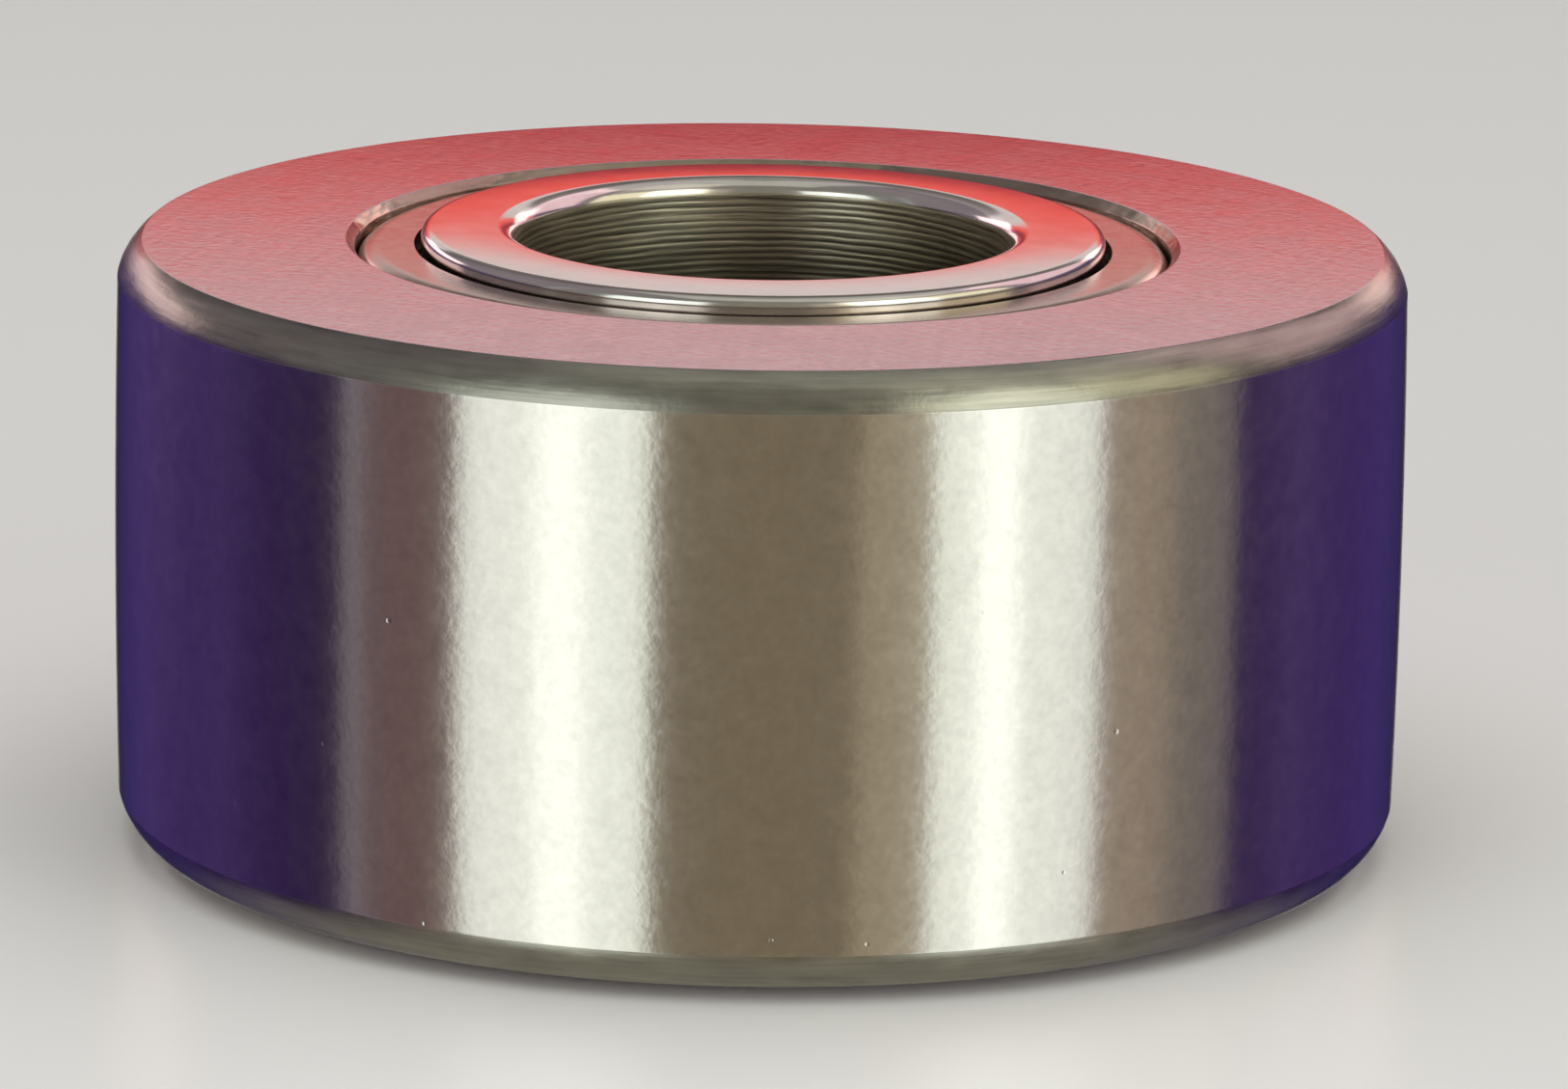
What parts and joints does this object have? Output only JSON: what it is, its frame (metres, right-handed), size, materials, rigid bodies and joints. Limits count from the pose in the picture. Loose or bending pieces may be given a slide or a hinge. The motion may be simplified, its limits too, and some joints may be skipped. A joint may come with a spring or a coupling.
{
  "type": "cam follower",
  "caption": "Yoke-type cam follower: thick crowned outer ring running on two rows of cylindrical rollers round an inner ring, with a plain bore and sheet-steel seal rings.",
  "frame": {"origin": "centre of the bearing: on the bore axis, halfway across its width", "axes": "+Z along the bore axis, towards the upper flange ring; X and Y are radial, and +X passes through the first upper roller"},
  "size_m": [0.052, 0.052, 0.025],
  "materials": {
    "ground_ring_steel": "hardened bearing steel, ground faces and crowned ground running surface",
    "flange_steel": "turned and ground bearing steel",
    "pressed_sheet_steel": "pressed sheet steel, satin",
    "raceway_steel": "hardened bearing steel, fine turned bore and ground raceway",
    "roller_steel": "superfinished bearing steel"
  },
  "bodies": {
    "inner_assembly": {"inner_ring": "raceway_steel", "upper_flange_ring": "flange_steel", "lower_flange_ring": "flange_steel"},
    "outer_assembly": {"outer_ring": "ground_ring_steel", "upper_seal_ring": "pressed_sheet_steel", "lower_seal_ring": "pressed_sheet_steel"},
    "roller_set": {"upper_roller_01": "roller_steel"},
    "upper_roller_02": {"upper_roller_02": "roller_steel"},
    "upper_roller_03": {"upper_roller_03": "roller_steel"},
    "upper_roller_04": {"upper_roller_04": "roller_steel"},
    "upper_roller_05": {"upper_roller_05": "roller_steel"},
    "upper_roller_06": {"upper_roller_06": "roller_steel"},
    "upper_roller_07": {"upper_roller_07": "roller_steel"},
    "upper_roller_08": {"upper_roller_08": "roller_steel"},
    "upper_roller_09": {"upper_roller_09": "roller_steel"},
    "upper_roller_10": {"upper_roller_10": "roller_steel"},
    "upper_roller_11": {"upper_roller_11": "roller_steel"},
    "upper_roller_12": {"upper_roller_12": "roller_steel"},
    "upper_roller_13": {"upper_roller_13": "roller_steel"},
    "upper_roller_14": {"upper_roller_14": "roller_steel"},
    "upper_roller_15": {"upper_roller_15": "roller_steel"},
    "upper_roller_16": {"upper_roller_16": "roller_steel"},
    "upper_roller_17": {"upper_roller_17": "roller_steel"},
    "upper_roller_18": {"upper_roller_18": "roller_steel"},
    "lower_roller_01": {"lower_roller_01": "roller_steel"},
    "lower_roller_02": {"lower_roller_02": "roller_steel"},
    "lower_roller_03": {"lower_roller_03": "roller_steel"},
    "lower_roller_04": {"lower_roller_04": "roller_steel"},
    "lower_roller_05": {"lower_roller_05": "roller_steel"},
    "lower_roller_06": {"lower_roller_06": "roller_steel"},
    "lower_roller_07": {"lower_roller_07": "roller_steel"},
    "lower_roller_08": {"lower_roller_08": "roller_steel"},
    "lower_roller_09": {"lower_roller_09": "roller_steel"},
    "lower_roller_10": {"lower_roller_10": "roller_steel"},
    "lower_roller_11": {"lower_roller_11": "roller_steel"},
    "lower_roller_12": {"lower_roller_12": "roller_steel"},
    "lower_roller_13": {"lower_roller_13": "roller_steel"},
    "lower_roller_14": {"lower_roller_14": "roller_steel"},
    "lower_roller_15": {"lower_roller_15": "roller_steel"},
    "lower_roller_16": {"lower_roller_16": "roller_steel"},
    "lower_roller_17": {"lower_roller_17": "roller_steel"},
    "lower_roller_18": {"lower_roller_18": "roller_steel"}
  },
  "joints": [
    {"name": "outer_ring_spin", "type": "hinge", "parent": "inner_assembly", "child": "outer_assembly", "pos_m": [0, 0, 0], "axis": [0, 0, 1], "continuous": true},
    {"name": "roller_set_orbit", "type": "hinge", "parent": "inner_assembly", "child": "roller_set", "pos_m": [0, 0, 0], "axis": [0, 0, 1], "continuous": true},
    {"name": "upper_roller_02_spin", "type": "hinge", "parent": "roller_set", "child": "upper_roller_02", "pos_m": [0.01386, 0.00504, 0.0038], "axis": [0, 0, 1], "continuous": true},
    {"name": "upper_roller_03_spin", "type": "hinge", "parent": "roller_set", "child": "upper_roller_03", "pos_m": [0.0113, 0.00948, 0.0038], "axis": [0, 0, 1], "continuous": true},
    {"name": "upper_roller_04_spin", "type": "hinge", "parent": "roller_set", "child": "upper_roller_04", "pos_m": [0.00737, 0.01277, 0.0038], "axis": [0, 0, 1], "continuous": true},
    {"name": "upper_roller_05_spin", "type": "hinge", "parent": "roller_set", "child": "upper_roller_05", "pos_m": [0.00256, 0.01453, 0.0038], "axis": [0, 0, 1], "continuous": true},
    {"name": "upper_roller_06_spin", "type": "hinge", "parent": "roller_set", "child": "upper_roller_06", "pos_m": [-0.00256, 0.01453, 0.0038], "axis": [0, 0, 1], "continuous": true},
    {"name": "upper_roller_07_spin", "type": "hinge", "parent": "roller_set", "child": "upper_roller_07", "pos_m": [-0.00737, 0.01277, 0.0038], "axis": [0, 0, 1], "continuous": true},
    {"name": "upper_roller_08_spin", "type": "hinge", "parent": "roller_set", "child": "upper_roller_08", "pos_m": [-0.0113, 0.00948, 0.0038], "axis": [0, 0, 1], "continuous": true},
    {"name": "upper_roller_09_spin", "type": "hinge", "parent": "roller_set", "child": "upper_roller_09", "pos_m": [-0.01386, 0.00504, 0.0038], "axis": [0, 0, 1], "continuous": true},
    {"name": "upper_roller_10_spin", "type": "hinge", "parent": "roller_set", "child": "upper_roller_10", "pos_m": [-0.01475, 0, 0.0038], "axis": [0, 0, 1], "continuous": true},
    {"name": "upper_roller_11_spin", "type": "hinge", "parent": "roller_set", "child": "upper_roller_11", "pos_m": [-0.01386, -0.00504, 0.0038], "axis": [0, 0, 1], "continuous": true},
    {"name": "upper_roller_12_spin", "type": "hinge", "parent": "roller_set", "child": "upper_roller_12", "pos_m": [-0.0113, -0.00948, 0.0038], "axis": [0, 0, 1], "continuous": true},
    {"name": "upper_roller_13_spin", "type": "hinge", "parent": "roller_set", "child": "upper_roller_13", "pos_m": [-0.00737, -0.01277, 0.0038], "axis": [0, 0, 1], "continuous": true},
    {"name": "upper_roller_14_spin", "type": "hinge", "parent": "roller_set", "child": "upper_roller_14", "pos_m": [-0.00256, -0.01453, 0.0038], "axis": [0, 0, 1], "continuous": true},
    {"name": "upper_roller_15_spin", "type": "hinge", "parent": "roller_set", "child": "upper_roller_15", "pos_m": [0.00256, -0.01453, 0.0038], "axis": [0, 0, 1], "continuous": true},
    {"name": "upper_roller_16_spin", "type": "hinge", "parent": "roller_set", "child": "upper_roller_16", "pos_m": [0.00737, -0.01277, 0.0038], "axis": [0, 0, 1], "continuous": true},
    {"name": "upper_roller_17_spin", "type": "hinge", "parent": "roller_set", "child": "upper_roller_17", "pos_m": [0.0113, -0.00948, 0.0038], "axis": [0, 0, 1], "continuous": true},
    {"name": "upper_roller_18_spin", "type": "hinge", "parent": "roller_set", "child": "upper_roller_18", "pos_m": [0.01386, -0.00504, 0.0038], "axis": [0, 0, 1], "continuous": true},
    {"name": "lower_roller_01_spin", "type": "hinge", "parent": "roller_set", "child": "lower_roller_01", "pos_m": [0.01453, 0.00256, -0.0038], "axis": [0, 0, 1], "continuous": true},
    {"name": "lower_roller_02_spin", "type": "hinge", "parent": "roller_set", "child": "lower_roller_02", "pos_m": [0.01277, 0.00737, -0.0038], "axis": [0, 0, 1], "continuous": true},
    {"name": "lower_roller_03_spin", "type": "hinge", "parent": "roller_set", "child": "lower_roller_03", "pos_m": [0.00948, 0.0113, -0.0038], "axis": [0, 0, 1], "continuous": true},
    {"name": "lower_roller_04_spin", "type": "hinge", "parent": "roller_set", "child": "lower_roller_04", "pos_m": [0.00504, 0.01386, -0.0038], "axis": [0, 0, 1], "continuous": true},
    {"name": "lower_roller_05_spin", "type": "hinge", "parent": "roller_set", "child": "lower_roller_05", "pos_m": [0, 0.01475, -0.0038], "axis": [0, 0, 1], "continuous": true},
    {"name": "lower_roller_06_spin", "type": "hinge", "parent": "roller_set", "child": "lower_roller_06", "pos_m": [-0.00504, 0.01386, -0.0038], "axis": [0, 0, 1], "continuous": true},
    {"name": "lower_roller_07_spin", "type": "hinge", "parent": "roller_set", "child": "lower_roller_07", "pos_m": [-0.00948, 0.0113, -0.0038], "axis": [0, 0, 1], "continuous": true},
    {"name": "lower_roller_08_spin", "type": "hinge", "parent": "roller_set", "child": "lower_roller_08", "pos_m": [-0.01277, 0.00737, -0.0038], "axis": [0, 0, 1], "continuous": true},
    {"name": "lower_roller_09_spin", "type": "hinge", "parent": "roller_set", "child": "lower_roller_09", "pos_m": [-0.01453, 0.00256, -0.0038], "axis": [0, 0, 1], "continuous": true},
    {"name": "lower_roller_10_spin", "type": "hinge", "parent": "roller_set", "child": "lower_roller_10", "pos_m": [-0.01453, -0.00256, -0.0038], "axis": [0, 0, 1], "continuous": true},
    {"name": "lower_roller_11_spin", "type": "hinge", "parent": "roller_set", "child": "lower_roller_11", "pos_m": [-0.01277, -0.00737, -0.0038], "axis": [0, 0, 1], "continuous": true},
    {"name": "lower_roller_12_spin", "type": "hinge", "parent": "roller_set", "child": "lower_roller_12", "pos_m": [-0.00948, -0.0113, -0.0038], "axis": [0, 0, 1], "continuous": true},
    {"name": "lower_roller_13_spin", "type": "hinge", "parent": "roller_set", "child": "lower_roller_13", "pos_m": [-0.00504, -0.01386, -0.0038], "axis": [0, 0, 1], "continuous": true},
    {"name": "lower_roller_14_spin", "type": "hinge", "parent": "roller_set", "child": "lower_roller_14", "pos_m": [0, -0.01475, -0.0038], "axis": [0, 0, 1], "continuous": true},
    {"name": "lower_roller_15_spin", "type": "hinge", "parent": "roller_set", "child": "lower_roller_15", "pos_m": [0.00504, -0.01386, -0.0038], "axis": [0, 0, 1], "continuous": true},
    {"name": "lower_roller_16_spin", "type": "hinge", "parent": "roller_set", "child": "lower_roller_16", "pos_m": [0.00948, -0.0113, -0.0038], "axis": [0, 0, 1], "continuous": true},
    {"name": "lower_roller_17_spin", "type": "hinge", "parent": "roller_set", "child": "lower_roller_17", "pos_m": [0.01277, -0.00737, -0.0038], "axis": [0, 0, 1], "continuous": true},
    {"name": "lower_roller_18_spin", "type": "hinge", "parent": "roller_set", "child": "lower_roller_18", "pos_m": [0.01453, -0.00256, -0.0038], "axis": [0, 0, 1], "continuous": true}
  ],
  "couplings": [
    {"joint": "roller_set_orbit", "follows": "outer_ring_spin", "ratio": 0.58475},
    {"joint": "upper_roller_02_spin", "follows": "outer_ring_spin", "ratio": 2.8653},
    {"joint": "upper_roller_03_spin", "follows": "outer_ring_spin", "ratio": 2.8653},
    {"joint": "upper_roller_04_spin", "follows": "outer_ring_spin", "ratio": 2.8653},
    {"joint": "upper_roller_05_spin", "follows": "outer_ring_spin", "ratio": 2.8653},
    {"joint": "upper_roller_06_spin", "follows": "outer_ring_spin", "ratio": 2.8653},
    {"joint": "upper_roller_07_spin", "follows": "outer_ring_spin", "ratio": 2.8653},
    {"joint": "upper_roller_08_spin", "follows": "outer_ring_spin", "ratio": 2.8653},
    {"joint": "upper_roller_09_spin", "follows": "outer_ring_spin", "ratio": 2.8653},
    {"joint": "upper_roller_10_spin", "follows": "outer_ring_spin", "ratio": 2.8653},
    {"joint": "upper_roller_11_spin", "follows": "outer_ring_spin", "ratio": 2.8653},
    {"joint": "upper_roller_12_spin", "follows": "outer_ring_spin", "ratio": 2.8653},
    {"joint": "upper_roller_13_spin", "follows": "outer_ring_spin", "ratio": 2.8653},
    {"joint": "upper_roller_14_spin", "follows": "outer_ring_spin", "ratio": 2.8653},
    {"joint": "upper_roller_15_spin", "follows": "outer_ring_spin", "ratio": 2.8653},
    {"joint": "upper_roller_16_spin", "follows": "outer_ring_spin", "ratio": 2.8653},
    {"joint": "upper_roller_17_spin", "follows": "outer_ring_spin", "ratio": 2.8653},
    {"joint": "upper_roller_18_spin", "follows": "outer_ring_spin", "ratio": 2.8653},
    {"joint": "lower_roller_01_spin", "follows": "outer_ring_spin", "ratio": 2.8653},
    {"joint": "lower_roller_02_spin", "follows": "outer_ring_spin", "ratio": 2.8653},
    {"joint": "lower_roller_03_spin", "follows": "outer_ring_spin", "ratio": 2.8653},
    {"joint": "lower_roller_04_spin", "follows": "outer_ring_spin", "ratio": 2.8653},
    {"joint": "lower_roller_05_spin", "follows": "outer_ring_spin", "ratio": 2.8653},
    {"joint": "lower_roller_06_spin", "follows": "outer_ring_spin", "ratio": 2.8653},
    {"joint": "lower_roller_07_spin", "follows": "outer_ring_spin", "ratio": 2.8653},
    {"joint": "lower_roller_08_spin", "follows": "outer_ring_spin", "ratio": 2.8653},
    {"joint": "lower_roller_09_spin", "follows": "outer_ring_spin", "ratio": 2.8653},
    {"joint": "lower_roller_10_spin", "follows": "outer_ring_spin", "ratio": 2.8653},
    {"joint": "lower_roller_11_spin", "follows": "outer_ring_spin", "ratio": 2.8653},
    {"joint": "lower_roller_12_spin", "follows": "outer_ring_spin", "ratio": 2.8653},
    {"joint": "lower_roller_13_spin", "follows": "outer_ring_spin", "ratio": 2.8653},
    {"joint": "lower_roller_14_spin", "follows": "outer_ring_spin", "ratio": 2.8653},
    {"joint": "lower_roller_15_spin", "follows": "outer_ring_spin", "ratio": 2.8653},
    {"joint": "lower_roller_16_spin", "follows": "outer_ring_spin", "ratio": 2.8653},
    {"joint": "lower_roller_17_spin", "follows": "outer_ring_spin", "ratio": 2.8653},
    {"joint": "lower_roller_18_spin", "follows": "outer_ring_spin", "ratio": 2.8653}
  ]
}
